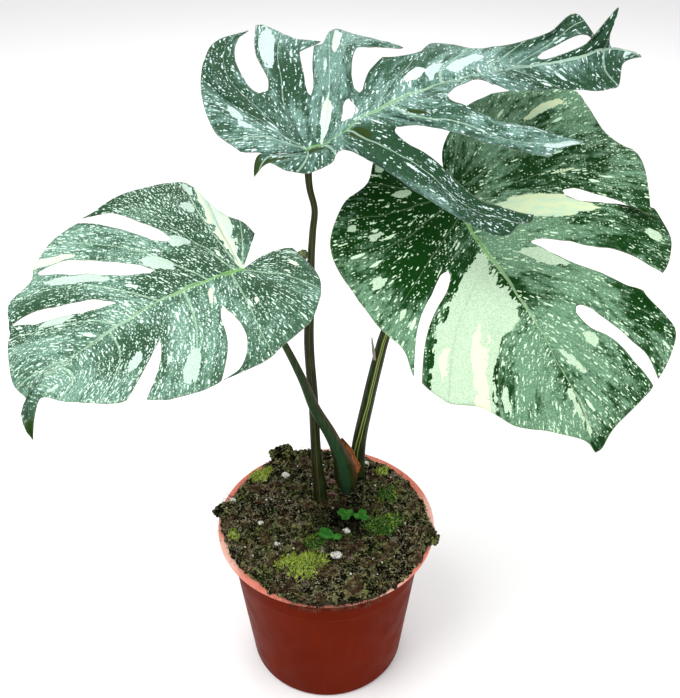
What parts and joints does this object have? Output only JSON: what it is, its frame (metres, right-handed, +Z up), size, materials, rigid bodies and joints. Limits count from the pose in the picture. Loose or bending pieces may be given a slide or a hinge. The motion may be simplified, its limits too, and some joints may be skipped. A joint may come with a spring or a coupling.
{
  "type": "potted variegated monstera plant",
  "caption": "Potted variegated monstera with split, cream-speckled leaves on upright stalks, growing in mossy soil in a tapered round plastic nursery pot.",
  "frame": {"origin": "middle of the underside of the pot, on the surface that the pot stands on", "axes": "+Z up, -Y towards the side that the picture shows, +X to that side's right"},
  "size_m": [0.3019, 0.1713, 0.3607],
  "materials": {
    "pot_plastic": "satin",
    "soil": "matte",
    "stalk": "satin",
    "leaf_grey_green": "satin",
    "leaf_green": "satin",
    "dry_sheath": "matte",
    "lime_moss": "matte",
    "dark_moss": "matte",
    "perlite": "matte",
    "sprout": "satin"
  },
  "bodies": {
    "root": {"pot": "pot_plastic", "potting_soil": "soil", "petiole_left": "stalk", "petiole_top": "stalk", "petiole_right": "stalk", "leaf_left": "leaf_grey_green", "leaf_top": "leaf_grey_green", "leaf_right": "leaf_green", "dried_sheath": "dry_sheath", "sheath_wisp": "dry_sheath", "sheath_nub": "stalk", "moss_front": "lime_moss", "moss_middle": "dark_moss", "moss_right": "dark_moss", "moss_right_back": "dark_moss", "moss_back": "lime_moss", "moss_left_back": "lime_moss", "moss_left": "lime_moss", "perlite_1": "perlite", "perlite_2": "perlite", "perlite_3": "perlite", "perlite_4": "perlite", "perlite_5": "perlite", "perlite_6": "perlite", "perlite_7": "perlite", "seedling": "sprout", "clover_left": "sprout", "clover_right": "sprout", "soil_clump_left": "soil", "soil_clump_right": "soil", "soil_clump_back": "soil", "soil_clump_front": "soil"}
  },
  "joints": []
}
